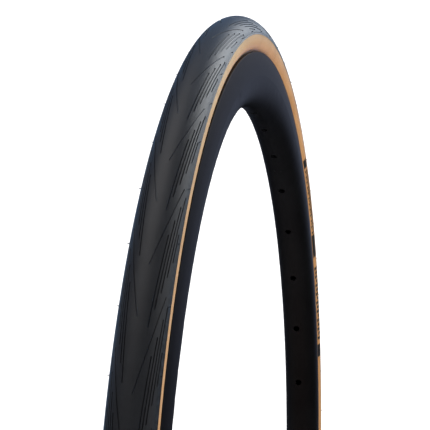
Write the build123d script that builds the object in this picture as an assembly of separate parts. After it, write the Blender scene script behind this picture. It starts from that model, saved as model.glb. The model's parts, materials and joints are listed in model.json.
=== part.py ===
from build123d import *
import math
import os

# A 28-622 (700 x 28C) clincher tire, seated and inflated on a mid-depth aluminium rim.
# Millimetres. The wheel turns about Y, its centre is the origin and +Z is up. The valve is at the bottom
# and points up at the centre. Left is +Y, right is -Y.
# Sections are drawn with x = radius from the wheel's axis and y = distance from the mid plane, then revolved.

# ---- driving dimensions -------------------------------------------------------------------------
TIRE_RADIUS = 339.0          # to the crown of the tread
TIRE_HALF_WIDTH = 13.3       # of the inflated tire at its widest
WIDEST_RADIUS = 324.0        # where the tire is widest
LOWER_HEIGHT = 10.5          # the section's lower semi-axis, under the widest place
NECK_HALF_WIDTH = 9.4        # of the tire between the rim's flanges

TREAD_CROWN = 2.3            # thickness of the tread on the mid plane
SKIN = 0.6                   # thickness of the tan sidewall rubber
PLY = 0.45                   # thickness of one casing ply
BELT = 0.4                   # thickness of the puncture belt
TREAD_EDGE_DEG = 78.0        # where the tread ends, from the crown round the section
BELT_EDGE_DEG = 40.0         # where the belt ends, from the crown round the section

BEAD_RADIUS = 313.2          # radius of the hoop's centreline
BEAD_OFFSET = 7.3            # its distance from the mid plane
BEAD_CORE = 0.95             # radius of the hoop's own section
PLY_WRAP = 0.4               # thickness of each ply where it is pressed round the hoop
BEAD_BULB = 2.15             # radius of the finished bead, chafer included
CHAFER_TOP = 314.8           # radius at which the tan skin ends on the chafer
CHAFER_LIP = 0.5             # how far up the bead's inner side the chafer goes, from the hoop's centre

SEAT_RADIUS = 311.0          # the bead seat: 622 mm in diameter
FLANGE_RADIUS = 316.4        # top of the rim's flange
FLANGE_ROUND = 0.7           # radius of the flange's rounded edges
FLANGE_INNER = 9.5           # half of the rim's inner width
FLANGE_OUTER = 11.7          # half of its outer width at the flange's top
RIM_HALF_WIDTH = 13.4        # of the rim at its widest
RIM_WIDEST_RADIUS = 301.0
APEX_RADIUS = 280.0          # the rim's inner edge, where the spokes go in
RIM_WALL = 1.1
APEX_WALL = 1.8
BED_WALL = 1.4               # thickness under the bead seats and the well
WELL_RADIUS = 308.8          # floor of the well between the bead seats
WELL_HALF_WIDTH = 5.0
WELL_SLOPE = 0.6             # the well's side walls lean out by this much
TAPE = 0.5                   # thickness of the rim tape
TAPE_MARGIN = 0.3            # between the tape's edge and the well's

SPOKES = 36
SPOKE_HOLE = 2.4             # radius
ACCESS_HOLE = 4.2            # radius of the hole above each spoke hole, for the nipple
SLEEVE_HALF_DEG = 3.8        # the joint sleeve's half length, round the wheel

TUBE_WALL = 0.9
TUBE_GAP = 0.1               # between the tube and the casing or the tape

# Presta valve. Heights are z, with the wheel's centre at 0.
STEM_RADIUS = 3.0            # the length that the rim nut runs on
STEM_SHOULDER = -266.0       # the stem is thinner above this, where the cap goes
STEM_TIP_RADIUS = 2.6
STEM_TOP = -258.0
STEM_BORE = 1.3              # radius of the air passage under the core
FOOT_RADIUS = 3.9            # the flange at the bottom of the stem
FOOT_HEIGHT = 0.7
VALVE_HOLE = 3.25            # radius of the rim's valve hole

CORE_RADIUS = 2.05           # of the removable core and its pocket in the stem
POCKET_BOTTOM = -276.0
CORE_BOTTOM = -274.0
COLLAR_RADIUS = 2.6
COLLAR_HEIGHT = 3.4
COLLAR_FOOT = 0.4            # the round part of the collar, under the flats for a wrench
COLLAR_FLATS = 4.2           # width across those flats
CORE_TIP_RADIUS = 1.6
CORE_TIP = -252.6
GASKET_LOW, GASKET_HIGH = -268.2, -266.6
GASKET_NECK = 1.6            # inner radius of the gasket, and of the core under it

PIN_RADIUS = 0.8
PIN_TRAVEL = 1.8
PIN_TAIL = 0.6               # what shows of the pin under its seal
SEAL_TOP = -274.1
SEAL_HEIGHT = 1.6
SEAL_RADIUS = 1.2
CORE_NUT_BOTTOM = -252.5
CORE_NUT_HEIGHT = 3.2
CORE_NUT_RADIUS = 2.1

NUT_BOTTOM = -278.8
NUT_HEIGHT = 3.4
NUT_RADIUS = 6.2
WASHER_HEIGHT = 1.1
WASHER_RADIUS = 5.2

CAP_BOTTOM = -263.0
CAP_TOP = -244.6
CAP_FOOT_RADIUS = 4.1
CAP_TIP_RADIUS = 3.3
CAP_BORE = 2.8
CAP_END = 1.6                # thickness of its closed end
CAP_ROUND = 1.2              # radius of the end's rounded edge

RUNNING = 0.05               # radial clearance of a part that turns or slides on another

# Radii and offset that every section lies within.
SECTION_LOW, SECTION_HIGH = 200.0, 400.0
SECTION_SIDE = 40.0
BEYOND = 5.0                 # how far a cutting shape runs past what it cuts

WHEEL_AXIS = Axis.Y
VALVE_DEG = -90.0            # angle of the valve round the wheel, from +X towards +Z

# Marks printed on each sidewall, as arcs of (first degree, last degree).
LABEL_RADII = (319.2, 323.4)
LABEL_INK = 0.12             # thickness of the printed layer
LABEL_ARCS = [(40.9, 42.6), (23.6, 27.6), (6.6, 8.6)]


def box_section(r_low, r_high, y_low, y_high):
    """A rectangle of the section, from one radius to another and from one offset to another."""
    middle = ((r_low + r_high) / 2, (y_low + y_high) / 2)
    return Pos(*middle) * Rectangle(r_high - r_low, y_high - y_low)


def oval(half_width, upper, lower, centre=WIDEST_RADIUS):
    """Two half ellipses joined at the widest place: upper and lower are their radial semi-axes."""
    far = 2 * max(upper, lower, half_width)
    top = Pos(centre, 0) * Ellipse(upper, half_width)
    bottom = Pos(centre, 0) * Ellipse(lower, half_width)
    return (top & box_section(centre, centre + far, -far, far)) + (
        bottom & box_section(centre - far, centre, -far, far)
    )


def tire_skin(depth, crown=None):
    """What lies inside the surface at that depth under the sidewall, down to the beads.

    crown is the depth of the same surface under the tread's crown."""
    crown = depth if crown is None else crown
    bulge = oval(
        TIRE_HALF_WIDTH - depth,
        TIRE_RADIUS - WIDEST_RADIUS - crown,
        LOWER_HEIGHT - depth,
    )
    neck = NECK_HALF_WIDTH - depth
    below = box_section(SECTION_LOW, BEAD_RADIUS, -SECTION_SIDE, SECTION_SIDE)
    return bulge - below + box_section(BEAD_RADIUS, WIDEST_RADIUS, -neck, neck)


def crown_wedge(half_deg):
    """The part of the section above two lines that leave its centre at half_deg from the crown."""
    reach = 60.0
    x = WIDEST_RADIUS + reach * math.cos(math.radians(half_deg))
    y = reach * math.sin(math.radians(half_deg))
    middle = (WIDEST_RADIUS, 0)
    far = (WIDEST_RADIUS + 2 * reach, 0)
    return make_face(Polyline(middle, (x, -y), far, (x, y), close=True))


def disc(radius, side):
    """A round of the bead on one side of the tire."""
    return Pos(BEAD_RADIUS, side * BEAD_OFFSET) * Circle(radius)


def hoop(section, start_deg=0.0, sweep_deg=360.0):
    """The section revolved about the wheel's axis, from start_deg, measured from +X towards +Z."""
    turned = Rot(0, -start_deg, 0) * section
    return revolve(turned, WHEEL_AXIS, -sweep_deg)


def around(angle_deg, shape):
    """A shape made on the +X side, moved round the wheel by that angle from +X towards +Z."""
    return Rot(0, -angle_deg, 0) * shape


def radial_hole(radius, r_low, r_high, angle_deg):
    """A round hole on the mid plane that points at the wheel's axis."""
    drill = Pos((r_low + r_high) / 2, 0, 0) * Rot(0, 90, 0) * Cylinder(radius, r_high - r_low)
    return around(angle_deg, drill)


def upright(radius, z_low, z_high):
    """A round bar on the valve's axis."""
    return Pos(0, 0, (z_low + z_high) / 2) * Cylinder(radius, z_high - z_low)


def pipe(outer, inner, z_low, z_high):
    """A round tube on the valve's axis."""
    return upright(outer, z_low, z_high) - upright(inner, z_low - BEYOND, z_high + BEYOND)


# ---- tire ---------------------------------------------------------------------------------------
OUTSIDE = tire_skin(0.0)
UNDER_SKIN = tire_skin(SKIN, TREAD_CROWN)
BETWEEN_PLIES = tire_skin(SKIN + PLY, TREAD_CROWN + PLY)
INSIDE = tire_skin(SKIN + 2 * PLY, TREAD_CROWN + 2 * PLY)
OVER_BELT = tire_skin(SKIN - BELT, TREAD_CROWN - BELT)

INNER_WRAP = BEAD_CORE + PLY_WRAP
OUTER_WRAP = INNER_WRAP + PLY_WRAP


def one_side(side):
    """All of the section on one side of the mid plane."""
    low, high = sorted((0, side * SECTION_SIDE))
    return box_section(SECTION_LOW, SECTION_HIGH, low, high)


def puncture_belt():
    return hoop((OVER_BELT - UNDER_SKIN) & crown_wedge(BELT_EDGE_DEG))


def tread_cap():
    belt = (OVER_BELT - UNDER_SKIN) & crown_wedge(BELT_EDGE_DEG)
    return hoop(((OUTSIDE - UNDER_SKIN) & crown_wedge(TREAD_EDGE_DEG)) - belt)


def sidewall(side):
    above = box_section(CHAFER_TOP, SECTION_HIGH, -SECTION_SIDE, SECTION_SIDE)
    skin = (OUTSIDE - UNDER_SKIN) & one_side(side) & above
    return hoop(skin - crown_wedge(TREAD_EDGE_DEG))


def casing_ply_inner():
    band = BETWEEN_PLIES - INSIDE
    for side in (1, -1):
        band = band + disc(INNER_WRAP, side)
    for side in (1, -1):
        band = band - disc(BEAD_CORE, side)
    return hoop(band)


def casing_ply_outer():
    band = UNDER_SKIN - BETWEEN_PLIES
    for side in (1, -1):
        band = band + disc(OUTER_WRAP, side)
    for side in (1, -1):
        band = band - disc(INNER_WRAP, side)
    return hoop(band - (BETWEEN_PLIES - INSIDE))


def chafer(side):
    """A strip on the neck and a hook round the bead, open towards the tube."""
    below = box_section(SECTION_LOW, CHAFER_TOP, -SECTION_SIDE, SECTION_SIDE)
    strip = (OUTSIDE - UNDER_SKIN) & one_side(side) & below
    opening = NECK_HALF_WIDTH - SKIN - PLY
    low, high = sorted((0, side * opening))
    mouth = box_section(BEAD_RADIUS + CHAFER_LIP, CHAFER_TOP + BEAD_BULB, low, high)
    hook = strip + disc(BEAD_BULB, side) - disc(OUTER_WRAP, side) - mouth
    return hoop(hook - (UNDER_SKIN - INSIDE))


def bead_core(side):
    return hoop(disc(BEAD_CORE, side))


def sidewall_label(side):
    """Separate printed bars, each a thin layer on the tan rubber."""
    ink = tire_skin(-LABEL_INK) - OUTSIDE
    band = ink & one_side(side) & box_section(*LABEL_RADII, -SECTION_SIDE, SECTION_SIDE)
    return Compound(children=[hoop(band, start, stop - start) for start, stop in LABEL_ARCS])


# ---- rim ----------------------------------------------------------------------------------------
def side_arc_half_width(radius, depth=0.0):
    """Half width of the rim between its widest place and the flange: an arc, upright where it is widest."""
    rise = FLANGE_RADIUS - RIM_WIDEST_RADIUS
    fall = RIM_HALF_WIDTH - FLANGE_OUTER
    curve = (rise * rise + fall * fall) / (2 * fall)
    up = radius - RIM_WIDEST_RADIUS
    return RIM_HALF_WIDTH - curve + math.sqrt((curve - depth) ** 2 - up * up)


def rim_outline(depth=0.0, apex_depth=0.0, top=FLANGE_RADIUS):
    """The rim's outside, or a surface at that depth under its sides and apex_depth under its apex."""
    half = RIM_HALF_WIDTH - depth
    low = RIM_WIDEST_RADIUS - APEX_RADIUS - apex_depth
    bowl = Pos(RIM_WIDEST_RADIUS, 0) * Ellipse(low, half)
    bowl = bowl & box_section(RIM_WIDEST_RADIUS - low, RIM_WIDEST_RADIUS, -half, half)
    middle = (RIM_WIDEST_RADIUS + top) / 2
    edge = side_arc_half_width(top, depth)
    swell = side_arc_half_width(middle, depth)
    right = ThreePointArc((RIM_WIDEST_RADIUS, -half), (middle, -swell), (top, -edge))
    left = ThreePointArc((top, edge), (middle, swell), (RIM_WIDEST_RADIUS, half))
    sides = [right, Line((top, -edge), (top, edge)), left]
    closing = Line((RIM_WIDEST_RADIUS, half), (RIM_WIDEST_RADIUS, -half))
    return bowl + make_face([*sides, closing])


def rim_channel():
    """The open channel that the tire sits in: two seats and a well between them."""
    well_top = WELL_HALF_WIDTH + WELL_SLOPE
    return make_face(
        Polyline(
            (WELL_RADIUS, -WELL_HALF_WIDTH),
            (WELL_RADIUS, WELL_HALF_WIDTH),
            (SEAT_RADIUS, well_top),
            (SEAT_RADIUS, FLANGE_INNER),
            (FLANGE_RADIUS + BEYOND, FLANGE_INNER),
            (FLANGE_RADIUS + BEYOND, -FLANGE_INNER),
            (SEAT_RADIUS, -FLANGE_INNER),
            (SEAT_RADIUS, -well_top),
            close=True,
        )
    )


def chamber():
    """The hollow between the apex and the bed. It reaches up under each bead seat, beside the well."""
    well_half = WELL_HALF_WIDTH + WELL_SLOPE + BED_WALL
    under_well = WELL_RADIUS - BED_WALL
    hollow = rim_outline(RIM_WALL, APEX_WALL, SEAT_RADIUS - BED_WALL)
    return hollow - box_section(under_well, SEAT_RADIUS, -well_half, well_half)


def rim():
    section = rim_outline() - rim_channel()
    lips = section.vertices().filter_by(lambda v: v.X > FLANGE_RADIUS - 0.1)
    section = fillet(lips, radius=FLANGE_ROUND)
    body = hoop(section) - hoop(chamber())
    pitch = 360.0 / SPOKES
    for spoke in range(SPOKES):
        angle = (spoke + 0.5) * pitch
        body = body - radial_hole(SPOKE_HOLE, APEX_RADIUS - BEYOND, APEX_RADIUS + BEYOND, angle)
        body = body - radial_hole(ACCESS_HOLE, WELL_RADIUS - BEYOND, WELL_RADIUS + BEYOND, angle)
    return body - radial_hole(VALVE_HOLE, APEX_RADIUS - BEYOND, WELL_RADIUS + BEYOND, VALVE_DEG)


def rim_joint_sleeve():
    return hoop(chamber(), 90.0 - SLEEVE_HALF_DEG, 2 * SLEEVE_HALF_DEG)


def rim_tape():
    half = WELL_HALF_WIDTH - TAPE_MARGIN
    strip = hoop(box_section(WELL_RADIUS, WELL_RADIUS + TAPE, -half, half))
    return strip - radial_hole(VALVE_HOLE, WELL_RADIUS - BEYOND, WELL_RADIUS + BEYOND, VALVE_DEG)


# ---- tube and valve -----------------------------------------------------------------------------
BASE_HALF_WIDTH = 4.0
BASE_HALF_DEG = 2.2          # half of the base's length, round the wheel
BASE_LOW = WELL_RADIUS + TAPE + TUBE_GAP
BASE_OVER = 0.8              # how far the base stands up inside the tube
BASE_HIGH = BASE_LOW + TUBE_WALL + BASE_OVER


def tube_section(wall):
    """The tube's section at that depth under its surface: a round body and a keel in the rim's well."""
    gap = TUBE_GAP + wall
    depth = SKIN + 2 * PLY
    bottom = WIDEST_RADIUS - BEAD_RADIUS - BEAD_BULB
    body = oval(
        TIRE_HALF_WIDTH - depth - gap,
        TIRE_RADIUS - WIDEST_RADIUS - TREAD_CROWN - 2 * PLY - gap,
        bottom - gap,
    )
    keel_half = BEAD_OFFSET - BEAD_BULB - gap
    keel_low = WELL_RADIUS + TAPE + gap
    return body + box_section(keel_low, WIDEST_RADIUS, -keel_half, keel_half)


def base_block():
    section = box_section(BASE_LOW, BASE_HIGH, -BASE_HALF_WIDTH, BASE_HALF_WIDTH)
    return hoop(section, VALVE_DEG - BASE_HALF_DEG, 2 * BASE_HALF_DEG)


def inner_tube():
    skin = hoop(tube_section(0.0)) - hoop(tube_section(TUBE_WALL))
    return skin - base_block()


def valve_base():
    return base_block() - upright(STEM_RADIUS, -BASE_HIGH - BEYOND, STEM_TOP)


def valve_stem():
    foot = upright(FOOT_RADIUS, -BASE_HIGH - FOOT_HEIGHT, -BASE_HIGH)
    shank = upright(STEM_RADIUS, -BASE_HIGH, STEM_SHOULDER)
    tip = upright(STEM_TIP_RADIUS, STEM_SHOULDER, STEM_TOP)
    passage = upright(STEM_BORE, -BASE_HIGH - BEYOND, POCKET_BOTTOM)
    pocket = upright(CORE_RADIUS, POCKET_BOTTOM, STEM_TOP + BEYOND)
    return foot + shank + tip - passage - pocket


def valve_core_body():
    """The removable core: a threaded body in the stem, a collar for a wrench and a tip above it."""
    body = upright(CORE_RADIUS, CORE_BOTTOM, STEM_TOP)
    collar_top = STEM_TOP + COLLAR_HEIGHT
    foot_top = STEM_TOP + COLLAR_FOOT
    flats = Pos(0, 0, (foot_top + collar_top) / 2) * Box(
        3 * COLLAR_RADIUS, COLLAR_FLATS, collar_top - foot_top
    )
    collar = upright(COLLAR_RADIUS, foot_top, collar_top) & flats
    foot = upright(COLLAR_RADIUS, STEM_TOP, foot_top)
    tip = upright(CORE_TIP_RADIUS, collar_top, CORE_TIP)
    groove = pipe(CORE_RADIUS + BEYOND, GASKET_NECK, GASKET_LOW, GASKET_HIGH)
    bore = upright(PIN_RADIUS + RUNNING, CORE_BOTTOM - BEYOND, CORE_TIP + BEYOND)
    return body + foot + collar + tip - groove - bore


def valve_core_gasket():
    return pipe(CORE_RADIUS, GASKET_NECK, GASKET_LOW, GASKET_HIGH)


def valve_pin():
    top = CORE_NUT_BOTTOM + CORE_NUT_HEIGHT + PIN_TRAVEL
    return upright(PIN_RADIUS, SEAL_TOP - SEAL_HEIGHT - PIN_TAIL, top)


def valve_seal():
    """The rubber that shuts the core from below. It rides on the pin."""
    return pipe(SEAL_RADIUS, PIN_RADIUS, SEAL_TOP - SEAL_HEIGHT, SEAL_TOP)


def knurled(radius, depth, count, z_low, z_high):
    """A round bar with straight grooves round its edge."""
    bar = upright(radius, z_low, z_high)
    groove = Pos(radius + depth, 0, 0) * upright(2 * depth, z_low - BEYOND, z_high + BEYOND)
    for step in range(count):
        bar = bar - Rot(0, 0, 360 * step / count) * groove
    return bar


def valve_core_nut():
    top = CORE_NUT_BOTTOM + CORE_NUT_HEIGHT
    nut = knurled(CORE_NUT_RADIUS, 0.12, 16, CORE_NUT_BOTTOM, top)
    return nut - upright(PIN_RADIUS + RUNNING, CORE_NUT_BOTTOM - BEYOND, top + BEYOND)


def rim_nut():
    top = NUT_BOTTOM + NUT_HEIGHT
    nut = knurled(NUT_RADIUS, 0.25, 24, NUT_BOTTOM, top)
    return nut - upright(STEM_RADIUS + RUNNING, NUT_BOTTOM - BEYOND, top + BEYOND)


def rim_nut_washer():
    return pipe(WASHER_RADIUS, STEM_RADIUS + RUNNING, NUT_BOTTOM - WASHER_HEIGHT, NUT_BOTTOM)


def valve_cap():
    """A plastic cap that covers the core and grips the stem's thinner end by its skirt."""
    height = CAP_TOP - CAP_BOTTOM
    outside = Pos(0, 0, CAP_BOTTOM + height / 2) * Cone(CAP_FOOT_RADIUS, CAP_TIP_RADIUS, height)
    outside = fillet(outside.edges().sort_by(Axis.Z)[-1], CAP_ROUND)
    grip = upright(STEM_TIP_RADIUS + RUNNING, CAP_BOTTOM - BEYOND, STEM_TOP)
    return outside - grip - upright(CAP_BORE, STEM_TOP, CAP_TOP - CAP_END)


# ---- writing ------------------------------------------------------------------------------------
def nodes():
    """Every piece by its node's name. Left is +Y, right is -Y."""
    made = {
        "tread_cap": tread_cap(),
        "puncture_belt": puncture_belt(),
        "casing_ply_outer": casing_ply_outer(),
        "casing_ply_inner": casing_ply_inner(),
        "inner_tube": inner_tube(),
        "rim": rim(),
        "rim_joint_sleeve": rim_joint_sleeve(),
        "rim_tape": rim_tape(),
        "valve_base": valve_base(),
        "valve_stem": valve_stem(),
        "valve_core_body": valve_core_body(),
        "valve_core_gasket": valve_core_gasket(),
        "valve_pin": valve_pin(),
        "valve_seal": valve_seal(),
        "valve_core_nut": valve_core_nut(),
        "rim_nut": rim_nut(),
        "rim_nut_washer": rim_nut_washer(),
        "valve_cap": valve_cap(),
    }
    for name, side in (("left", 1), ("right", -1)):
        made[f"bead_core_{name}"] = bead_core(side)
        made[f"chafer_{name}"] = chafer(side)
        made[f"sidewall_{name}"] = sidewall(side)
        made[f"sidewall_label_{name}"] = sidewall_label(side)
    return made


os.makedirs("parts", exist_ok=True)
for node, shape in nodes().items():
    export_step(shape, f"parts/{node}.step")
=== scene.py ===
import json
import math

import bmesh
import bpy
import numpy as np
from mathutils import Matrix, Vector
from mathutils.geometry import delaunay_2d_cdt

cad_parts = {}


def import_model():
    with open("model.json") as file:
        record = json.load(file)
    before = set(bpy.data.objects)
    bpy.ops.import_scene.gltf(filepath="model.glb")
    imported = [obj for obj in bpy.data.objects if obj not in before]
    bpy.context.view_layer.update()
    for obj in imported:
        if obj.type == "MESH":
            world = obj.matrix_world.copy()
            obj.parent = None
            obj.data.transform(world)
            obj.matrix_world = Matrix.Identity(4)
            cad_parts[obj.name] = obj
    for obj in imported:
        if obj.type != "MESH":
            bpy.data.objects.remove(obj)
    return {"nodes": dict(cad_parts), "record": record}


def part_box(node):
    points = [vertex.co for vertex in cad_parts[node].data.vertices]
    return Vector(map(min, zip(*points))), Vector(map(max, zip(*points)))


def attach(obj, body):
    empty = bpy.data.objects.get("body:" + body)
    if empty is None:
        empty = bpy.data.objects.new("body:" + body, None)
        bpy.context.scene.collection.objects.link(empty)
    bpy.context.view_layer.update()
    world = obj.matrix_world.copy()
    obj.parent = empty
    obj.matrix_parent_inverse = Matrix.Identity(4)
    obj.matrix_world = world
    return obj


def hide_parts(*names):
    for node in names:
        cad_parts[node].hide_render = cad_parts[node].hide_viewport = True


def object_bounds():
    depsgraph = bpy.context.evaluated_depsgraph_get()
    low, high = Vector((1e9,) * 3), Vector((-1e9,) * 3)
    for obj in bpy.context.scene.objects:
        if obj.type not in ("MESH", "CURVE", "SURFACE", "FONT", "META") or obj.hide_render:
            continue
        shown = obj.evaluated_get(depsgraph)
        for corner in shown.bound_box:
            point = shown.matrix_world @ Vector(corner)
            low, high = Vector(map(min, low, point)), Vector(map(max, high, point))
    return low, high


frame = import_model()
cad_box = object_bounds()

# Metres. The wheel turns about Y, its centre is the origin, the valve is at the bottom, right is -Y.
MM = 0.001
TIRE_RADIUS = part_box("tread_cap")[1].z
TIRE_HALF_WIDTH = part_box("sidewall_left")[1].y
CROWN_RISE = 15.0 * MM          # the section's upper semi-axis, from its widest place to the crown
WIDEST_RADIUS = TIRE_RADIUS - CROWN_RISE
LOWER_HEIGHT = 10.5 * MM        # its lower semi-axis
NECK_HALF_WIDTH = 9.4 * MM      # between the rim's flanges
TREAD_EDGE = 78.0               # where the tread ends: t, in degrees round the section from the crown
SKIN = 0.6 * MM
TREAD_CROWN = 2.3 * MM
CHAFER_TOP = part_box("chafer_left")[1].z
FLANGE_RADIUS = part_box("rim")[1].z
LEFT, RIGHT = 1, -1
WHITE = (1.0, 1.0, 1.0)


# ---- meshes -------------------------------------------------------------------------------------
NO_LENGTH = 1e-7                # an edge this short is dissolved


def mesh_object(name, vertices, faces, sharp_deg=35.0, merge=None):
    """A mesh piece, smooth but for the edges sharper than sharp_deg. merge joins points that close."""
    mesh = bpy.data.meshes.new(name)
    mesh.from_pydata([tuple(v) for v in vertices], [], [tuple(f) for f in faces])
    mesh.update()
    if merge:
        work = bmesh.new()
        work.from_mesh(mesh)
        bmesh.ops.remove_doubles(work, verts=work.verts, dist=merge)
        bmesh.ops.dissolve_degenerate(work, edges=work.edges, dist=NO_LENGTH)
        work.to_mesh(mesh)
        work.free()
    mesh.validate()
    mesh.shade_smooth()
    mark_sharp(mesh, sharp_deg)
    obj = bpy.data.objects.new(name, mesh)
    bpy.context.scene.collection.objects.link(obj)
    return obj


def mark_sharp(mesh, degrees):
    work = bmesh.new()
    work.from_mesh(mesh)
    limit = math.radians(degrees)
    for edge in work.edges:
        edge.smooth = edge.calc_face_angle(0.0) < limit
    work.to_mesh(mesh)
    work.free()


def ring(name, profile, segments, sharp_deg):
    """A closed profile of (radius, y) points turned about Y."""
    count = len(profile)
    vertices, faces = [], []
    for step in range(segments):
        angle = math.radians(360.0 * step / segments)
        vertices += [(radius * math.cos(angle), y, radius * math.sin(angle)) for radius, y in profile]
        a, b = step * count, (step + 1) % segments * count
        for index in range(count):
            nxt = (index + 1) % count
            faces.append((a + index, a + nxt, b + nxt, b + index))
    return mesh_object(name, vertices, faces, sharp_deg)


def outer_point(t_deg, depth=0.0, crown_depth=None):
    """A point (radius, y) of the tire's section above its widest place, that deep under the surface.

    t is measured from the crown, + to the right. crown_depth is the depth at the crown, where it differs.
    """
    crown_depth = depth if crown_depth is None else crown_depth
    t = math.radians(t_deg)
    return (
        WIDEST_RADIUS + (CROWN_RISE - crown_depth) * math.cos(t),
        -(TIRE_HALF_WIDTH - depth) * math.sin(t),
    )


# ---- tread --------------------------------------------------------------------------------------
REPEATS = 32                    # of the pattern round the tire
PITCH_DEG = 360.0 / REPEATS
PATTERN_START = -5.9            # where one repeat starts, from +X towards +Z
STAGGER = 0.425                 # the left half is mirrored and moved on by this share of a repeat
PITCH_LENGTH = math.radians(PITCH_DEG) * TIRE_RADIUS
SECTION_MEAN = 14.1 * MM        # length round the section for each radian of t
PATTERN_CENTRE = 5.0            # degrees right of the crown of the line that the halves mirror about

# Grooves of the right half: (share of a repeat, degrees from the pattern's line), from the inner end out.
DIAGONAL = [(0.72, 4.2), (0.64, 9.5), (0.5, 18.0), (0.3, 30.3), (0.1, 41.7), (-0.06, 52.0)]
DIAGONAL_WIDTH, DIAGONAL_DEPTH = 0.8 * MM, 0.42 * MM
RIGHT_WEAR = 0.78               # width and depth of the right half's diagonals, as a share of the left's
LINES = 5
LINE_INNER, LINE_OUTER = (1.215, 19.6), (0.43, 34.3)
LINE_STEP_INNER, LINE_STEP_OUTER = (-0.146, 9.2), (-0.154, 9.1)
LINE_WIDTH, LINE_DEPTH = 0.75 * MM, 0.45 * MM
LAST_T = 61.0                   # no line goes past this
EDGE_T, EDGE_WIDTH, EDGE_DEPTH = 74.0, 0.6 * MM, 0.12 * MM
WALL_RUN = 0.16 * MM            # how far a groove's wall leans

PATH_STEP = 2.4 * MM            # between the points of a groove's path
TREAD_SHARP = 40.0              # an edge that turns more degrees than this is sharp
TILE_COLUMNS, TILE_ROWS = 30, 30
TILE_EPSILON, BORDER_EPSILON = 1e-8, 1e-9       # for the triangulation, and for faces on the border
LAST_SHARE = 0.99               # no point of the grid lies nearer to the next repeat
UNDER_ROWS = 14                 # of the tread's underside, from edge to edge
SAME_POINT = 2e-6               # the repeats share the points on their borders
CUT_SCALE, CUT_FULL = 14.0, 0.65    # mm: the section's size, and the depth that has a groove's full painted shade


def to_plane(f, t):
    return np.array([f * PITCH_LENGTH, math.radians(t) * SECTION_MEAN])


def smooth_path(points, spacing):
    """Points along a Catmull-Rom curve through these, about that far apart."""
    p = [np.array(x, float) for x in points]
    p = [2 * p[0] - p[1], *p, 2 * p[-1] - p[-2]]
    out = []
    for k in range(1, len(p) - 2):
        count = max(1, round(np.linalg.norm(p[k + 1] - p[k]) / spacing))
        for s in np.arange(count) / count:
            a = 2 * p[k]
            b = p[k + 1] - p[k - 1]
            c = 2 * p[k - 1] - 5 * p[k] + 4 * p[k + 1] - p[k + 2]
            d = -p[k - 1] + 3 * p[k] - 3 * p[k + 1] + p[k + 2]
            out.append(0.5 * (a + b * s + c * s * s + d * s**3))
    out.append(p[-2])
    return np.array(out)


def groove_paths():
    """Every groove of one repeat as (path in the plane, width, depth)."""
    right = [([to_plane(f, t) for f, t in DIAGONAL], DIAGONAL_WIDTH, DIAGONAL_DEPTH, RIGHT_WEAR)]
    limit = math.radians(LAST_T) * SECTION_MEAN
    for k in range(LINES):
        inner = to_plane(LINE_INNER[0] + k * LINE_STEP_INNER[0], LINE_INNER[1] + k * LINE_STEP_INNER[1])
        outer = to_plane(LINE_OUTER[0] + k * LINE_STEP_OUTER[0], LINE_OUTER[1] + k * LINE_STEP_OUTER[1])
        if outer[1] > limit:
            outer = inner + (outer - inner) * (limit - inner[1]) / (outer[1] - inner[1])
        right.append(([inner, outer], LINE_WIDTH, LINE_DEPTH, 1.0))
    paths = []
    centre = to_plane(0.0, PATTERN_CENTRE)
    for points, width, depth, wear in right:
        path = smooth_path(points, PATH_STEP)
        mirrored = path * np.array([1, -1]) + np.array([STAGGER * PITCH_LENGTH, 0])
        paths.append((path + centre, width * wear, depth * wear))
        paths.append((mirrored + centre, width, depth))
    return paths


def capsule(path, half):
    """The outline at that distance from a path, with round ends."""
    along = np.gradient(path, axis=0)
    along /= np.linalg.norm(along, axis=1)[:, None]
    across = np.stack([-along[:, 1], along[:, 0]], 1)
    outline = list(path + across * half)
    for end, direction in ((-1, 1), (0, -1)):
        base = math.atan2(*(direction * across[end])[::-1])
        for step in (1, 2, 3):
            angle = base - math.pi * step / 4
            outline.append(path[end] + half * np.array([math.cos(angle), math.sin(angle)]))
        if end == -1:
            outline += list((path - across * half)[::-1])
    return outline


def distance(points, path):
    """The distance of each point from a path."""
    best = np.full(len(points), 1e9)
    for a, b in zip(path[:-1], path[1:]):
        ab = b - a
        s = np.clip(((points - a) @ ab) / (ab @ ab), 0, 1)
        best = np.minimum(best, np.linalg.norm(points - a - s[:, None] * ab, axis=1))
    return best


def tread_depth(points, paths):
    """How deep the tread is cut at each point of the plane."""
    depth = np.zeros(len(points))
    for path, width, deep in paths:
        for shift in range(-2, 3):
            away = distance(points, path + np.array([shift * PITCH_LENGTH, 0]))
            inside = np.clip((width / 2 - away) / WALL_RUN, 0, 1)
            depth = np.maximum(depth, inside * deep)
    edge = math.radians(EDGE_T) * SECTION_MEAN
    away = np.abs(np.abs(points[:, 1]) - edge)
    depth = np.maximum(depth, np.clip((EDGE_WIDTH / 2 - away) / WALL_RUN, 0, 1) * EDGE_DEPTH)
    return depth


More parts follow.
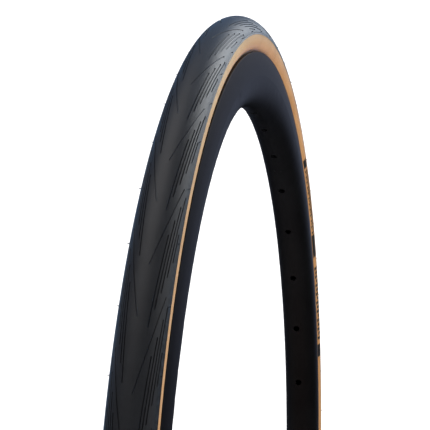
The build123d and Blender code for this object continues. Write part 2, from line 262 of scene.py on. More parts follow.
def tread_tile(paths):
    """One repeat of the tread as triangles in the plane, with an edge along each groove's lip and floor."""
    top = math.radians(TREAD_EDGE) * SECTION_MEAN
    columns, rows = TILE_COLUMNS, TILE_ROWS
    points, edges = [], []

    def loop(outline, closed=True):
        first = len(points)
        points.extend(Vector((float(x), float(y))) for x, y in outline)
        last = len(points) - 1
        edges.extend((k, k + 1) for k in range(first, last))
        if closed:
            edges.append((last, first))

    border = [(PITCH_LENGTH * k / columns, -top) for k in range(columns)]
    border += [(PITCH_LENGTH, -top + 2 * top * k / rows) for k in range(rows)]
    border += [(PITCH_LENGTH * (1 - k / columns), top) for k in range(columns)]
    border += [(0.0, top - 2 * top * k / rows) for k in range(rows)]
    loop(border)
    for path, width, deep in paths:
        for half in (width / 2, width / 2 - WALL_RUN):
            outline = capsule(path, half)
            low = min(p[0] for p in outline)
            high = max(p[0] for p in outline)
            for repeat in range(-3, 4):
                shift = repeat * PITCH_LENGTH
                if low + shift < PITCH_LENGTH and high + shift > 0:
                    loop([(x + shift, y) for x, y in outline])
    edge = math.radians(EDGE_T) * SECTION_MEAN
    for side in (1, -1):
        for half in (EDGE_WIDTH / 2, EDGE_WIDTH / 2 - WALL_RUN):
            for sign in (1, -1):
                y = side * edge + sign * half
                loop([(PITCH_LENGTH * k / columns, y) for k in range(columns + 1)], closed=False)
    for i in range(1, columns):
        for j in range(1, rows):
            x = PITCH_LENGTH * (i + 0.5 * (j % 2)) / columns
            if x < PITCH_LENGTH * LAST_SHARE:
                points.append(Vector((x, -top + 2 * top * j / rows)))
    made, _, faces, *_ = delaunay_2d_cdt(points, edges, [], 0, TILE_EPSILON)
    plane = np.array([(p.x, p.y) for p in made])
    keep = []
    for face in faces:
        centre = plane[list(face)].mean(0)
        if -BORDER_EPSILON < centre[0] < PITCH_LENGTH + BORDER_EPSILON and abs(centre[1]) < top:
            keep.append(face)
    used = sorted({v for face in keep for v in face})
    order = {v: k for k, v in enumerate(used)}
    return plane[used], [tuple(order[v] for v in face) for face in keep]


def tread_top(plane, faces, depth):
    """The tile, bent onto the section and repeated round the tire. It is cut along the section's normal."""
    t = plane[:, 1] / SECTION_MEAN
    normal = np.stack([np.cos(t) / CROWN_RISE, np.sin(t) / TIRE_HALF_WIDTH], 1)
    normal /= np.linalg.norm(normal, axis=1)[:, None]
    radius = WIDEST_RADIUS + CROWN_RISE * np.cos(t) - depth * normal[:, 0]
    across = TIRE_HALF_WIDTH * np.sin(t) - depth * normal[:, 1]
    vertices, all_faces = [], []
    for k in range(REPEATS):
        angle = np.radians(PATTERN_START + (plane[:, 0] / PITCH_LENGTH + k) * PITCH_DEG)
        first = k * len(plane)
        vertices.append(np.stack([radius * np.cos(angle), -across, radius * np.sin(angle)], 1))
        all_faces += [tuple(first + v for v in face) for face in faces]
    return np.concatenate(vertices), all_faces


def tread_underside(first):
    """The side that lies on the casing. first is the number of its first point."""
    vertices, faces = [], []
    steps = REPEATS * TILE_COLUMNS
    stride = UNDER_ROWS + 1
    for step in range(steps):
        angle = math.radians(PATTERN_START + PITCH_DEG * step / TILE_COLUMNS)
        for row in range(stride):
            t = -TREAD_EDGE + 2 * TREAD_EDGE * row / UNDER_ROWS
            r, y = outer_point(t) if row in (0, UNDER_ROWS) else outer_point(t, SKIN, TREAD_CROWN)
            vertices.append((r * math.cos(angle), y, r * math.sin(angle)))
        a = first + step * stride
        b = first + (step + 1) % steps * stride
        faces += [(a + row, a + row + 1, b + row + 1, b + row) for row in range(UNDER_ROWS)]
    return vertices, faces


def store_cut(mesh):
    """The attribute that the tread's material reads for the painted shade in its grooves: 0 on the land, 1
    from CUT_FULL down.
    """
    co = np.zeros(len(mesh.vertices) * 3)
    mesh.vertices.foreach_get("co", co)
    co = co.reshape(-1, 3)
    rise = np.hypot(co[:, 0], co[:, 2]) - WIDEST_RADIUS
    level = np.hypot(rise / CROWN_RISE, co[:, 1] / TIRE_HALF_WIDTH)
    cut = np.clip((1 - level) * CUT_SCALE / CUT_FULL, 0, 1)
    mesh.attributes.new("cut", "FLOAT", "POINT").data.foreach_set("value", cut.astype(np.float32))


def tread():
    paths = groove_paths()
    plane, faces = tread_tile(paths)
    for k, face in enumerate(faces):
        a, b, c = plane[list(face)]
        if np.cross(b - a, c - a) < 0:
            faces[k] = face[::-1]
    vertices, all_faces = tread_top(plane, faces, tread_depth(plane, paths))
    under, under_faces = tread_underside(len(vertices))
    vertices = np.concatenate([vertices, np.array(under)])
    obj = mesh_object("tread", vertices, all_faces + under_faces, TREAD_SHARP, merge=SAME_POINT)
    store_cut(obj.data)
    return obj


# ---- sidewalls ----------------------------------------------------------------------------------
STEP_DOWN = 0.18 * MM           # from the tread's surface to the tan skin's
INK = 0.1 * MM                  # how far a printed mark stands out of the skin, and goes into it
LABEL_RADII = (319.2 * MM, 323.4 * MM)

# Marks printed on each sidewall: blocks as (first degree, last degree), and rows of small plain bars
# between them as (first degree, last degree, bars).
LABEL_BLOCKS = [(40.9, 42.6), (23.6, 27.6), (6.6, 8.6)]
LABEL_ROWS = [(27.9, 40.5, 23), (9.4, 22.0, 17)]
BAR_HEIGHTS = (0.9, 0.62, 0.9, 0.75)    # shares of the band, in turn
BAR_FILL = 0.62                 # a bar's share of its pitch
LABEL_POINTS = 6                # across the band
LABEL_STEP_DEG = 0.4


def lower_point(radius, depth):
    """The offset of the tire's section under its widest place, at that depth under the surface."""
    share = (WIDEST_RADIUS - radius) / (LOWER_HEIGHT - depth)
    return (TIRE_HALF_WIDTH - depth) * math.sqrt(1 - share * share)


def label_arcs():
    """The printed marks as (first degree, last degree, share of the band's height, from its top)."""
    arcs = [(start, stop, 1.0) for start, stop in LABEL_BLOCKS]
    for start, stop, count in LABEL_ROWS:
        pitch = (stop - start) / count
        for k in range(count):
            height = BAR_HEIGHTS[k % len(BAR_HEIGHTS)]
            arcs.append((start + pitch * k, start + pitch * (k + BAR_FILL), height))
    return arcs


def labels(side):
    """Plain printed bars on the tan skin, each a thin curved slab."""
    low, high = LABEL_RADII
    vertices, faces = [], []
    for start, stop, height in label_arcs():
        bottom = high - (high - low) * height
        radii = np.linspace(bottom, high, LABEL_POINTS)
        profile = [(r, lower_point(r, STEP_DOWN - INK)) for r in radii]
        profile += [(r, lower_point(r, STEP_DOWN + INK)) for r in radii[::-1]]
        steps = max(2, round((stop - start) / LABEL_STEP_DEG))
        first, count = len(vertices), len(profile)
        for step in range(steps + 1):
            angle = math.radians(start + (stop - start) * step / steps)
            vertices += [(r * math.cos(angle), side * y, r * math.sin(angle)) for r, y in profile]
        starts = [first + step * count for step in range(steps + 1)]
        sections = [list(range(at, at + count)) for at in starts]
        for a, b in zip(sections[:-1], sections[1:]):
            for k in range(count):
                nxt = (k + 1) % count
                faces.append((a[k], a[nxt], b[nxt], b[k]))
        faces += [tuple(sections[0][::-1]), tuple(sections[-1])]
    if side == LEFT:
        faces = [face[::-1] for face in faces]
    return mesh_object("label_bars_" + ("left" if side == LEFT else "right"), vertices, faces)


VENTS = 58                      # moulding nibs round each shoulder
VENT_START = 115.45             # where the first one is, in degrees from +X towards +Z
VENT_T = 70.0
VENT_LENGTH, VENT_RADIUS = 1.1 * MM, 0.28 * MM
VENT_ROOT = 0.3 * MM            # how far a nib starts under the surface
VENT_DROOP = 0.25 * MM          # the most that its tip leans along the tread
VENT_SIDES = 7
VENT_STATIONS = ((0.0, 1.0, 0.0), (0.6, 0.75, 0.4), (1.0, 0.45, 1.0))   # shares of length, radius, lean


def vent_nibs():
    """The short rubber hairs that a mould's vents leave on both shoulders."""
    vertices, faces = [], []
    lean = math.radians(VENT_T)
    r, y = outer_point(VENT_T)
    for k in range(2 * VENTS):
        side = LEFT if k % 2 else RIGHT
        angle = math.radians(VENT_START + 360.0 / VENTS * (k // 2))
        outward = math.cos(lean)
        out = Vector((outward * math.cos(angle), side * math.sin(lean), outward * math.sin(angle)))
        along = Vector((-math.sin(angle), 0.0, math.cos(angle)))
        third = out.cross(along)
        base = Vector((r * math.cos(angle), side * abs(y), r * math.sin(angle))) - out * VENT_ROOT
        droop = along * (VENT_DROOP * math.sin(3.0 * k))
        first = len(vertices)
        for reach, radius, bend in VENT_STATIONS:
            centre = base + out * (reach * (VENT_LENGTH + VENT_ROOT)) + droop * bend
            for j in range(VENT_SIDES):
                turn = 2 * math.pi * j / VENT_SIDES
                spoke = along * math.cos(turn) + third * math.sin(turn)
                vertices.append(centre + spoke * (VENT_RADIUS * radius))
        for level in range(len(VENT_STATIONS) - 1):
            a = first + level * VENT_SIDES
            for j in range(VENT_SIDES):
                nxt = (j + 1) % VENT_SIDES
                faces.append((a + j, a + nxt, a + VENT_SIDES + nxt, a + VENT_SIDES + j))
        tip = first + (len(VENT_STATIONS) - 1) * VENT_SIDES
        faces.append(tuple(range(tip, tip + VENT_SIDES)))
        faces.append(tuple(range(first, first + VENT_SIDES))[::-1])
    return mesh_object("vent_nibs", vertices, faces)


WALL_SEGMENTS = 640             # round the tire
WALL_SHARP = 50.0               # an edge that turns more degrees than this is sharp
WIDEST_T = 90.0
WALL_OUTER_T = (4.0, 46.0)      # degrees under the widest place, on the skin's outside
WALL_INNER_T = (44.0, 0.0)      # and on its inside
LAP_T = 84.0                    # a point of the inside between the widest place and the tread's edge
FLANGE_GAP = 0.3 * MM
TOP_POINTS, OUTER_POINTS, INNER_POINTS = 5, 22, 10      # of the skin above and under its widest place


def sidewall(side):
    """The tan skin: a step down from the tread, a swell, and a neck into the rim."""
    outer = [outer_point(t, STEP_DOWN) for t in np.linspace(TREAD_EDGE, WIDEST_T, TOP_POINTS)]
    outer = [(r, abs(y)) for r, y in outer]
    for t in np.linspace(*WALL_OUTER_T, OUTER_POINTS):
        r = WIDEST_RADIUS - (LOWER_HEIGHT - STEP_DOWN) * math.sin(math.radians(t))
        outer.append((r, lower_point(r, STEP_DOWN)))
    outer = [p for p in outer if p[1] > NECK_HALF_WIDTH]
    outer.append((FLANGE_RADIUS, NECK_HALF_WIDTH))
    outer.append((CHAFER_TOP, NECK_HALF_WIDTH))
    neck = NECK_HALF_WIDTH - SKIN
    inner = [(CHAFER_TOP, neck), (FLANGE_RADIUS + FLANGE_GAP, neck)]
    for t in np.radians(np.linspace(*WALL_INNER_T, INNER_POINTS)):
        r = WIDEST_RADIUS - (LOWER_HEIGHT - SKIN) * math.sin(t)
        inner.append((r, (TIRE_HALF_WIDTH - SKIN) * math.cos(t)))
    for t in (LAP_T, TREAD_EDGE):
        r, y = outer_point(t, SKIN, TREAD_CROWN)
        inner.append((r, abs(y)))
    profile = [(r, side * y) for r, y in outer + inner]
    if side == LEFT:
        profile = profile[::-1]
    name = "sidewall_skin_" + ("left" if side == LEFT else "right")
    return ring(name, profile, WALL_SEGMENTS, WALL_SHARP)


# ---- valve --------------------------------------------------------------------------------------
STEM_RADIUS, STEM_TIP_RADIUS = 3.0 * MM, 2.6 * MM
STEM_SHOULDER = -266.0 * MM     # heights are z, with the wheel's centre at 0
POCKET_BOTTOM = -276.0 * MM
POCKET_RADIUS, STEM_BORE = 2.05 * MM, 1.3 * MM
FOOT_RADIUS, FOOT_HEIGHT = 3.9 * MM, 0.7 * MM
THREAD_PITCH, THREAD_DEPTH = 0.8 * MM, 0.28 * MM
THREAD_BOTTOM = -297.0 * MM
THREAD_STATIONS = 5             # for each turn
STEM_SIDES = 40


def turned(name, profile, sides, wave, sharp_deg=40.0):
    """A closed profile of (radius, z) points turned about the valve's axis.

    wave(angle, radius, z) adds to a point's radius.
    """
    vertices, faces = [], []
    for radius, z in profile:
        for step in range(sides):
            angle = 2 * math.pi * step / sides
            here = radius + wave(angle, radius, z)
            vertices.append((here * math.cos(angle), here * math.sin(angle), z))
    count = len(profile)
    for k in range(count):
        a, b = k * sides, (k + 1) % count * sides
        for step in range(sides):
            nxt = (step + 1) % sides
            faces.append((a + step, a + nxt, b + nxt, b + step))
    return mesh_object(name, vertices, faces, sharp_deg)


def threaded_stem():
    """The valve's stem with its thread cut in it, the core's pocket and the air passage under that."""
    low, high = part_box("valve_stem")
    bottom, top = low.z, high.z

    def thread(angle, radius, z):
        on_shank = THREAD_BOTTOM < z < STEM_SHOULDER - THREAD_PITCH / 2
        on_tip = STEM_SHOULDER + THREAD_PITCH / 2 < z < top - THREAD_PITCH / 2
        if radius < STEM_TIP_RADIUS - MM / 100 or not (on_shank or on_tip):
            return 0.0
        share = (z / THREAD_PITCH - angle / (2 * math.pi)) % 1.0
        return -THREAD_DEPTH * abs(2 * share - 1)

    def run(radius, z_from, z_to):
        count = round((z_to - z_from) / THREAD_PITCH * THREAD_STATIONS)
        return [(radius, z_from + (z_to - z_from) * k / count) for k in range(count + 1)]

    profile = [(STEM_BORE, bottom), (FOOT_RADIUS, bottom), (FOOT_RADIUS, bottom + FOOT_HEIGHT)]
    profile += [(STEM_RADIUS, bottom + FOOT_HEIGHT)]
    profile += run(STEM_RADIUS, THREAD_BOTTOM, STEM_SHOULDER)
    profile += run(STEM_TIP_RADIUS, STEM_SHOULDER, top)
    profile += [(POCKET_RADIUS, top), (POCKET_RADIUS, POCKET_BOTTOM), (STEM_BORE, POCKET_BOTTOM)]
    return turned("threaded_stem", profile, STEM_SIDES, thread)


CAP_FOOT_RADIUS, CAP_TIP_RADIUS = 4.1 * MM, 3.3 * MM
CAP_GRIP, CAP_BORE = 2.65 * MM, 2.8 * MM
CAP_END, CAP_ROUND = 1.6 * MM, 1.2 * MM
CAP_RIBS, CAP_RIB_DEPTH = 18, 0.22 * MM
CAP_PLAIN_FOOT, CAP_PLAIN_TIP = 1.5 * MM, 3.0 * MM      # without ribs
CAP_AXIS_RADIUS = 0.02 * MM     # the closed end's middle
CAP_SIDES, CAP_STATIONS, CAP_ROUND_STEPS = 108, 24, 6


def ribbed_cap():
    """The valve's cap: a tapered plastic shell with upright ribs for the fingers."""
    low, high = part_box("valve_cap")
    bottom, top = low.z, high.z
    grip_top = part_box("valve_stem")[1].z
    rib_low, rib_high = bottom + CAP_PLAIN_FOOT, top - CAP_PLAIN_TIP

    def ribs(angle, radius, z):
        if radius < CAP_BORE + MM / 10 or not rib_low < z < rib_high:
            return 0.0
        return -CAP_RIB_DEPTH * (0.5 + 0.5 * math.cos(CAP_RIBS * angle)) ** 2

    def taper(z):
        share = (z - bottom) / (top - bottom)
        return CAP_FOOT_RADIUS + (CAP_TIP_RADIUS - CAP_FOOT_RADIUS) * share

    sides = np.linspace(bottom, top - CAP_ROUND, CAP_STATIONS)
    profile = [(CAP_GRIP, bottom)] + [(taper(z), z) for z in sides]
    for turn in np.radians(np.linspace(15, 90, CAP_ROUND_STEPS)):
        round_radius = taper(top - CAP_ROUND) - CAP_ROUND * (1 - math.cos(turn))
        profile.append((round_radius, top - CAP_ROUND * (1 - math.sin(turn))))
    profile += [(CAP_AXIS_RADIUS, top), (CAP_AXIS_RADIUS, top - CAP_END), (CAP_BORE, top - CAP_END)]
    profile += [(CAP_BORE, grip_top), (CAP_GRIP, grip_top)]
    return turned("ribbed_cap", profile, CAP_SIDES, ribs)


# ---- materials ----------------------------------------------------------------------------------
def new_material(name):
    mat = bpy.data.materials.new(name)
    mat.use_nodes = True
    nodes, links = mat.node_tree.nodes, mat.node_tree.links
    shader = nodes["Principled BSDF"]
    return mat, nodes, links, shader


def object_place(nodes):
    """The point's place in the object's own coordinates, which are the frame's, in metres."""
    return nodes.new("ShaderNodeTexCoord").outputs["Object"]


def split_place(nodes, links, place):
    """The X, Y and Z of a place or direction."""
    node = nodes.new("ShaderNodeSeparateXYZ")
    links.new(place, node.inputs[0])
    return node.outputs


def noise(nodes, links, scale, detail, rough):
    """Noise with that many features a metre."""
    node = nodes.new("ShaderNodeTexNoise")
    node.inputs["Scale"].default_value = scale
    node.inputs["Detail"].default_value = detail
    node.inputs["Roughness"].default_value = rough
    links.new(object_place(nodes), node.inputs["Vector"])
    return node.outputs["Fac"]


def math_node(nodes, links, operation, a, b=None, c=None):
    node = nodes.new("ShaderNodeMath")
    node.operation = operation
    for socket, value in zip(node.inputs, (a, b, c)):
        if value is None:
            continue
        if isinstance(value, (int, float)):
            socket.default_value = value
        else:
            links.new(value, socket)
    return node.outputs[0]


def ramp(nodes, links, fac, stops):
    node = nodes.new("ShaderNodeValToRGB")
    elements = node.color_ramp.elements
    while len(elements) < len(stops):
        elements.new(0.5)
    for element, (place, colour) in zip(elements, stops):
        element.position = place
        element.color = (*colour, 1.0)
    links.new(fac, node.inputs["Fac"])
    return node.outputs["Color"]


def bump(nodes, links, height, strength, distance_m):
    node = nodes.new("ShaderNodeBump")
    node.inputs["Strength"].default_value = strength
    node.inputs["Distance"].default_value = distance_m
    links.new(height, node.inputs["Height"])
    return node.outputs["Normal"]


def map_range(nodes, links, value, low, high, out_low=0.0, out_high=1.0):
    node = nodes.new("ShaderNodeMapRange")
    node.inputs["From Min"].default_value = low
    node.inputs["From Max"].default_value = high
    node.inputs["To Min"].default_value = out_low
    node.inputs["To Max"].default_value = out_high
    links.new(value, node.inputs["Value"])
    return node.outputs["Result"]


def mix_colours(nodes, links, factor, a, b, blend_type="MIX"):
    """Colour a where factor is 0, b where it is 1. Each of the three is a socket or a fixed value."""
    node = nodes.new("ShaderNodeMix")
    node.data_type = "RGBA"
    node.blend_type = blend_type
    for name, value in (("Factor", factor), ("A", a), ("B", b)):
        if isinstance(value, bpy.types.NodeSocket):
            links.new(value, node.inputs[name])
        else:
            node.inputs[name].default_value = value
    return node.outputs["Result"]


def set_sockets(shader, values):
    for name, value in values.items():
        shader.inputs[name].default_value = value


# The tread: near-black rubber with a fine grain, worn patchy on its shoulders, and painted shade in its
# cuts.
TREAD_GRAIN = (2600.0, 5.0, 0.6)        # a noise's scale, detail and roughness
TREAD_PATCH = (60.0, 3.0, 0.5)
TREAD_MOTTLE = (420.0, 4.0, 0.6)
LAND_STOPS = [(0.45, (0.012, 0.0128, 0.0150)), (1.0, (0.025, 0.027, 0.032))]
WORN_STOPS = [(0.38, (0.007, 0.008, 0.010)), (0.66, (0.026, 0.032, 0.039))]
SHOULDER_FROM, SHOULDER_TO = 11.5 * MM, 12.1 * MM      # from the middle, where land turns to worn
# painted shade: the colour that the grooves take, darker than the land
GROOVE_SHADE_COLOUR = (0.010, 0.010, 0.011, 1)
PATCH_SHARE = 0.6               # of the patches in the land's colour, beside the grain
TREAD_ROUGH_SPREAD, TREAD_ROUGH_LEAST = 0.16, 0.44
TREAD_BUMP = (0.35, 0.12 * MM)          # strength and height
TREAD_SOCKETS = {
    "Specular IOR Level": 0.45,
    "Sheen Weight": 0.20,
    "Sheen Roughness": 0.35,
    "Sheen Tint": (0.12, 0.48, 1.0, 1.0),
}


def tread_material():
    mat, nodes, links, shader = new_material("tread_rubber")
    grain = noise(nodes, links, *TREAD_GRAIN)
    patch = noise(nodes, links, *TREAD_PATCH)
    mixed = math_node(nodes, links, "MULTIPLY_ADD", patch, PATCH_SHARE, grain)
    land = ramp(nodes, links, mixed, LAND_STOPS)
    worn = ramp(nodes, links, noise(nodes, links, *TREAD_MOTTLE), WORN_STOPS)
    sideways = split_place(nodes, links, object_place(nodes))["Y"]
    sideways = math_node(nodes, links, "ABSOLUTE", sideways)
    shoulder = map_range(nodes, links, sideways, SHOULDER_FROM, SHOULDER_TO)
    surface = mix_colours(nodes, links, shoulder, land, worn)
    # painted shade in the grooves: the colour goes darker with how deep the point is cut
    cut = nodes.new("ShaderNodeAttribute")
    cut.attribute_name = "cut"
    colour = mix_colours(nodes, links, cut.outputs["Fac"], surface, GROOVE_SHADE_COLOUR)
    links.new(colour, shader.inputs["Base Color"])
    rough = math_node(nodes, links, "MULTIPLY_ADD", grain, TREAD_ROUGH_SPREAD, TREAD_ROUGH_LEAST)
    links.new(rough, shader.inputs["Roughness"])
    links.new(bump(nodes, links, grain, *TREAD_BUMP), shader.inputs["Normal"])
    set_sockets(shader, TREAD_SOCKETS)
    return mat


# The tan skin: tan rubber in a colour that drifts, with the fine threads of the cord leaning across it.
THREADS = 4200.0                # round the tire
THREAD_LEAN = THREADS / 0.32    # phase for each metre outwards: 45 degrees at a radius of 0.32 m
TAN_DRIFT = (35.0, 4.0, 0.6)
TAN_SPECK = (1900.0, 3.0, 0.6)
TAN_STOPS = [(0.25, (0.57, 0.272, 0.080)), (0.5, (0.68, 0.335, 0.102)), (0.78, (0.75, 0.40, 0.145))]
TAN_WAVE_SHARE, TAN_SPECK_SHARE = 0.05, 0.22
TAN_SPECK_HEIGHT = 0.5          # beside the threads
TAN_BUMP = (0.3, 0.08 * MM)
TAN_SOCKETS = {
    "Roughness": 0.5,
    "Specular IOR Level": 0.5,
    "Sheen Weight": 0.12,
    "Sheen Roughness": 0.3,
    "Sheen Tint": (0.5, 0.8, 1.0, 1.0),
}

# Its painted light from the rim out to the tread: a painted shadow, dark in the crevice by the rim, full
# colour near its widest place, and a painted sheen, a little cooler, beside the tread.
PAINTED_LIGHT_LOW, PAINTED_LIGHT_HIGH = FLANGE_RADIUS, WIDEST_RADIUS + 3.0 * MM
PAINTED_LIGHT_STOPS = [
    (0.0, (0.40, 0.30, 0.24)),
    (0.03, (0.66, 0.56, 0.48)),
    (0.15, (0.82, 0.74, 0.66)),
    (0.42, (0.93, 0.88, 0.82)),
    (0.70, (1.0, 1.0, 1.0)),
    (1.0, (1.0, 1.04, 1.1)),
]


def tan_material():
    mat, nodes, links, shader = new_material("tan_rubber")
    point = split_place(nodes, links, object_place(nodes))
    angle = math_node(nodes, links, "ARCTAN2", point["Z"], point["X"])
    square = math_node(nodes, links, "MULTIPLY", point["X"], point["X"])
    square = math_node(nodes, links, "MULTIPLY_ADD", point["Z"], point["Z"], square)
    radius = math_node(nodes, links, "SQRT", square)
    phase = math_node(nodes, links, "MULTIPLY", angle, THREADS)
    phase = math_node(nodes, links, "MULTIPLY_ADD", radius, THREAD_LEAN, phase)
    wave = math_node(nodes, links, "SINE", phase)
    drift = noise(nodes, links, *TAN_DRIFT)
    speck = noise(nodes, links, *TAN_SPECK)
    mixed = math_node(nodes, links, "MULTIPLY_ADD", wave, TAN_WAVE_SHARE, drift)
    mixed = math_node(nodes, links, "SUBTRACT", mixed, TAN_SPECK_SHARE / 2)
    mixed = math_node(nodes, links, "MULTIPLY_ADD", speck, TAN_SPECK_SHARE, mixed)
    colour = ramp(nodes, links, mixed, TAN_STOPS)
    # painted shade in the crevice by the rim and painted sheen beside the tread, multiplied into the tan
    painted_light = ramp(nodes, links, map_range(nodes, links, radius, PAINTED_LIGHT_LOW, PAINTED_LIGHT_HIGH), PAINTED_LIGHT_STOPS)
    links.new(mix_colours(nodes, links, 1.0, colour, painted_light, "MULTIPLY"), shader.inputs["Base Color"])
    height = math_node(nodes, links, "MULTIPLY_ADD", speck, TAN_SPECK_HEIGHT, wave)
    links.new(bump(nodes, links, height, *TAN_BUMP), shader.inputs["Normal"])
    set_sockets(shader, TAN_SOCKETS)
    return mat


# The rim: satin black, its colour drifting a little.
RIM_GRAIN = (1500.0, 4.0, 0.6)
RIM_DRIFT = (18.0, 3.0, 0.5)
RIM_STOPS = [(0.3, (0.004, 0.0042, 0.005)), (0.7, (0.008, 0.0085, 0.0095))]
RIM_GRAIN_SHARE, RIM_DRIFT_SHARE = 0.4, 0.6
RIM_ROUGH_SPREAD, RIM_ROUGH_LEAST = 0.12, 0.36
RIM_BUMP = (0.12, 0.05 * MM)
RIM_SOCKETS = {"Specular IOR Level": 0.090, "Specular Tint": (1.0, 0.60, 0.46, 1.0)}


def rim_material():
    mat, nodes, links, shader = new_material("rim_black")
    grain = noise(nodes, links, *RIM_GRAIN)
    drift = noise(nodes, links, *RIM_DRIFT)
    mixed = math_node(nodes, links, "MULTIPLY", grain, RIM_GRAIN_SHARE)
    mixed = math_node(nodes, links, "MULTIPLY_ADD", drift, RIM_DRIFT_SHARE, mixed)
    links.new(ramp(nodes, links, mixed, RIM_STOPS), shader.inputs["Base Color"])
    rough = math_node(nodes, links, "MULTIPLY_ADD", grain, RIM_ROUGH_SPREAD, RIM_ROUGH_LEAST)
    links.new(rough, shader.inputs["Roughness"])
    links.new(bump(nodes, links, grain, *RIM_BUMP), shader.inputs["Normal"])
    set_sockets(shader, RIM_SOCKETS)
    return mat


# The other materials: dark and light colour, the grain's scale, roughness, metallic, the bump's strength.
PLAIN = {
    "ply_fabric": ((0.35, 0.25, 0.14), (0.5, 0.38, 0.24), 900.0, 0.8, 0.0, 0.2),
    "belt_fabric": ((0.55, 0.48, 0.16), (0.72, 0.65, 0.28), 900.0, 0.7, 0.0, 0.2),
    "bead_cord": ((0.45, 0.36, 0.12), (0.6, 0.5, 0.2), 900.0, 0.7, 0.0, 0.2),
    "chafer_fabric": ((0.015, 0.015, 0.015), (0.04, 0.04, 0.04), 900.0, 0.8, 0.0, 0.2),
    "label_ink": ((0.02, 0.02, 0.02), (0.045, 0.042, 0.04), 1200.0, 0.5, 0.0, 0.2),
    "butyl": ((0.012, 0.012, 0.013), (0.03, 0.03, 0.032), 600.0, 0.65, 0.0, 0.2),
    "sleeve_aluminium": ((0.5, 0.5, 0.52), (0.7, 0.7, 0.72), 400.0, 0.4, 1.0, 0.2),
    "tape_fabric": ((0.03, 0.08, 0.25), (0.06, 0.13, 0.35), 900.0, 0.7, 0.0, 0.2),
    "valve_brass": ((0.52, 0.49, 0.42), (0.68, 0.65, 0.58), 700.0, 0.28, 1.0, 0.08),
    "black_plastic": ((0.012, 0.012, 0.012), (0.025, 0.025, 0.025), 900.0, 0.45, 0.0, 0.2),
}
PLAIN_DETAIL = (5.0, 0.6)       # the grain's detail and roughness
PLAIN_ROUGH_SPREAD, PLAIN_ROUGH_DROP = 0.15, 0.07
PLAIN_BUMP_HEIGHT = 0.1 * MM


def plain_material(name, dark, light, scale, roughness, metallic, bump_strength):
    """A material whose colour, roughness and height follow one noise."""
    mat, nodes, links, shader = new_material(name)
    grain = noise(nodes, links, scale, *PLAIN_DETAIL)
    links.new(ramp(nodes, links, grain, [(0.3, dark), (0.7, light)]), shader.inputs["Base Color"])
    least = roughness - PLAIN_ROUGH_DROP
    rough = math_node(nodes, links, "MULTIPLY_ADD", grain, PLAIN_ROUGH_SPREAD, least)
    links.new(rough, shader.inputs["Roughness"])
    links.new(bump(nodes, links, grain, bump_strength, PLAIN_BUMP_HEIGHT), shader.inputs["Normal"])
    shader.inputs["Metallic"].default_value = metallic
    return mat


def materials():
    made = {"tread_rubber": tread_material(), "tan_rubber": tan_material(), "rim_black": rim_material()}
    for name, values in PLAIN.items():
        made[name] = plain_material(name, *values)
    return made


# ---- scene --------------------------------------------------------------------------------------
FLOOR_HALF = 120.0              # far enough for its edge to look like the horizon


def floor():
    """A matte white floor under the wheel, which isn't seen in reflections."""
    corners = [(-1, -1), (1, -1), (1, 1), (-1, 1)]
    z = cad_box[0][2]
    mesh = bpy.data.meshes.new("floor")
    mesh.from_pydata([(x * FLOOR_HALF, y * FLOOR_HALF, z) for x, y in corners], [], [(0, 1, 2, 3)])
    obj = bpy.data.objects.new("floor", mesh)
    bpy.context.scene.collection.objects.link(obj)
    mat, nodes, links, shader = new_material("floor_white")
    shader.inputs["Base Color"].default_value = (0.9, 0.9, 0.9, 1)
    shader.inputs["Roughness"].default_value = 0.9
    shader.inputs["Specular IOR Level"].default_value = 0.0
    obj.data.materials.append(mat)
    obj.visible_glossy = False
    return obj


def sun(name, direction, strength, spread_deg, colour):
    """Parallel light that comes from that direction."""
    data = bpy.data.lights.new(name, "SUN")
    data.energy = strength
    data.angle = math.radians(spread_deg)
    data.color = colour
    obj = bpy.data.objects.new(name, data)
    obj.rotation_euler = Vector(direction).to_track_quat("Z", "Y").to_euler()
    bpy.context.scene.collection.objects.link(obj)
    return obj


def light_only(light, *objects):
    """The light falls on these objects alone."""
    receivers = bpy.data.collections.new(light.name + "_receivers")
    for obj in objects:
        receivers.objects.link(obj)
    light.light_linking.receiver_collection = receivers


def panel(name, place, target, size, power, colour):
    """A square soft light at that place that faces the target."""
    data = bpy.data.lights.new(name, "AREA")
    data.shape = "SQUARE"
    data.size = size
    data.energy = power
    data.color = colour
    obj = bpy.data.objects.new(name, data)
    obj.location = place
    obj.rotation_euler = (Vector(place) - Vector(target)).to_track_quat("Z", "Y").to_euler()
    obj.visible_camera = False
    bpy.context.scene.collection.objects.link(obj)
    return obj


# Suns: name, direction it comes from, strength, spread in degrees, colour.
FLOOR_SUN = ("floor_light", (0, 0, 1), 3.6, 20.0, WHITE)
SUNS = [
    ("top_light", (0.04, 0.20, 0.98), 1.3, 55.0, (1.0, 0.97, 0.96)),
    ("back_light", (0.82, -0.46, 0.34), 0.45, 30.0, (1.0, 0.98, 0.95)),
]

# Soft panels, each on one kind of piece: name, place, target, size, watts, colour.
CROWN = Vector((0.0, 0.0, TIRE_RADIUS))
STREAK_PANEL = ("streak_light", (-0.12, -0.48, 0.43), (-0.20, 0.0, 0.27), 0.30, 0.36, WHITE)
WALL_PANEL = ("wall_light", (-0.50, -0.90, -0.10), (0.0, 0.0, 0.1), 0.6, 2.2, (1.0, 0.88, 0.76))
SKY_PLACE = CROWN + Vector((-0.16, -0.20, 0.09))
SKY_PANEL = ("wall_sky", SKY_PLACE, CROWN, 0.15, 0.85, (0.11, 0.40, 1.0))
SHOULDER_PLACE = CROWN + 0.60 * Vector((0.78, -0.52, 0.30))
SHOULDER_PANEL = ("shoulder_light", SHOULDER_PLACE, CROWN, 0.30, 1.6, (0.94, 0.98, 1.0))

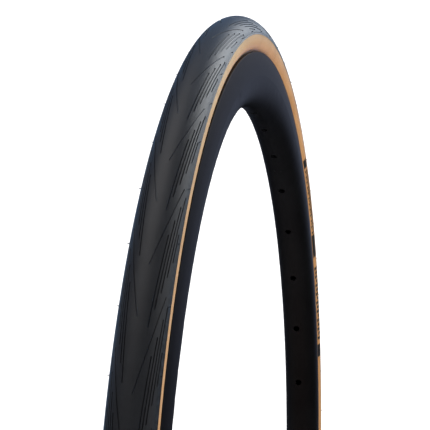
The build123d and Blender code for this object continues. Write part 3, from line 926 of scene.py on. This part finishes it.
# The surroundings: one colour, whose strength in a direction is the product of these maps of that
# direction's X, Y or Z: axis, first value, last value, strength at the first, strength at the last.
WORLD_COLOUR = (0.60, 0.70, 1.0, 1)
WORLD_MAPS = [
    ("X", -0.3, 1.0, 0.02, 0.62),       # bright ahead, dark behind
    ("Z", -0.34, -0.17, 0.12, 1.0),     # dark far under the horizon
    ("Z", -0.03, 0.14, 1.0, 0.58),      # dimmer above it
    ("Y", 0.17, 0.36, 1.0, 0.6),        # dimmer to the left
    ("Y", -0.56, -0.32, 0.08, 1.0),     # dark to the right
]


def world():
    made = bpy.data.worlds.new("world")
    made.use_nodes = True
    nodes, links = made.node_tree.nodes, made.node_tree.links
    background = nodes["Background"]
    background.inputs["Color"].default_value = WORLD_COLOUR
    direction = split_place(nodes, links, nodes.new("ShaderNodeTexCoord").outputs["Generated"])
    strength = None
    for axis, *limits in WORLD_MAPS:
        share = map_range(nodes, links, direction[axis], *limits)
        strength = share if strength is None else math_node(nodes, links, "MULTIPLY", strength, share)
    links.new(strength, background.inputs["Strength"])
    bpy.context.scene.world = made


def stage(tread_piece, walls):
    """The floor, the lights and the surroundings."""
    ground = floor()
    light_only(sun(*FLOOR_SUN), ground)
    for values in SUNS:
        sun(*values)
    light_only(panel(*STREAK_PANEL), tread_piece)
    light_only(panel(*WALL_PANEL), *walls)
    light_only(panel(*SKY_PANEL), *walls)
    light_only(panel(*SHOULDER_PANEL), tread_piece)
    world()
    bpy.context.scene.view_settings.view_transform = "Standard"


# Where the camera stands, the way it looks, and the direction that lies to its right.
CAMERA_PLACE = Vector((-0.9577, -0.1733, 0.3748))
CAMERA_LOOK = Vector((0.96815, 0.18906, -0.16410))
CAMERA_ACROSS = Vector((0.18853, -0.98188, -0.01895))
SENSOR_WIDTH, LENS = 36.0, 129.2        # millimetres


def camera():
    look = CAMERA_LOOK.normalized()
    across = (CAMERA_ACROSS - look * CAMERA_ACROSS.dot(look)).normalized()
    data = bpy.data.cameras.new("camera")
    data.sensor_width = SENSOR_WIDTH
    data.lens = LENS
    data.clip_end = 500.0
    obj = bpy.data.objects.new("camera", data)
    obj.location = CAMERA_PLACE
    obj.rotation_euler = Matrix((across, across.cross(look), -look)).transposed().to_euler()
    bpy.context.scene.collection.objects.link(obj)
    bpy.context.scene.camera = obj


def dress(made):
    """Every CAD node that shows gets the material of its slot."""
    slots = {part["node"]: part["material_slot"] for part in frame["record"]["subparts"]}
    for name, obj in frame["nodes"].items():
        mat = made[slots[name]]
        if not obj.material_slots:
            obj.data.materials.append(mat)
        for slot in obj.material_slots:
            slot.material = mat


def dress_piece(obj, made, slot, *nodes):
    """Gives a piece of the wheel its material, and the CAD nodes that it stands for."""
    obj.data.materials.append(made[slot])
    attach(obj, "wheel")
    if nodes:
        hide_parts(*nodes)


def main():
    made = materials()
    dress(made)
    tread_piece = tread()
    dress_piece(tread_piece, made, "tread_rubber", "tread_cap")
    walls = [sidewall(LEFT), sidewall(RIGHT)]
    dress_piece(walls[0], made, "tan_rubber", "sidewall_left")
    dress_piece(walls[1], made, "tan_rubber", "sidewall_right")
    dress_piece(labels(LEFT), made, "label_ink", "sidewall_label_left")
    dress_piece(labels(RIGHT), made, "label_ink", "sidewall_label_right")
    dress_piece(vent_nibs(), made, "tread_rubber")
    dress_piece(threaded_stem(), made, "valve_brass", "valve_stem")
    cap = ribbed_cap()
    cap.data.materials.append(made["black_plastic"])
    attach(cap, "valve_cap")
    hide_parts("valve_cap")
    stage(tread_piece, walls)
    camera()


main()
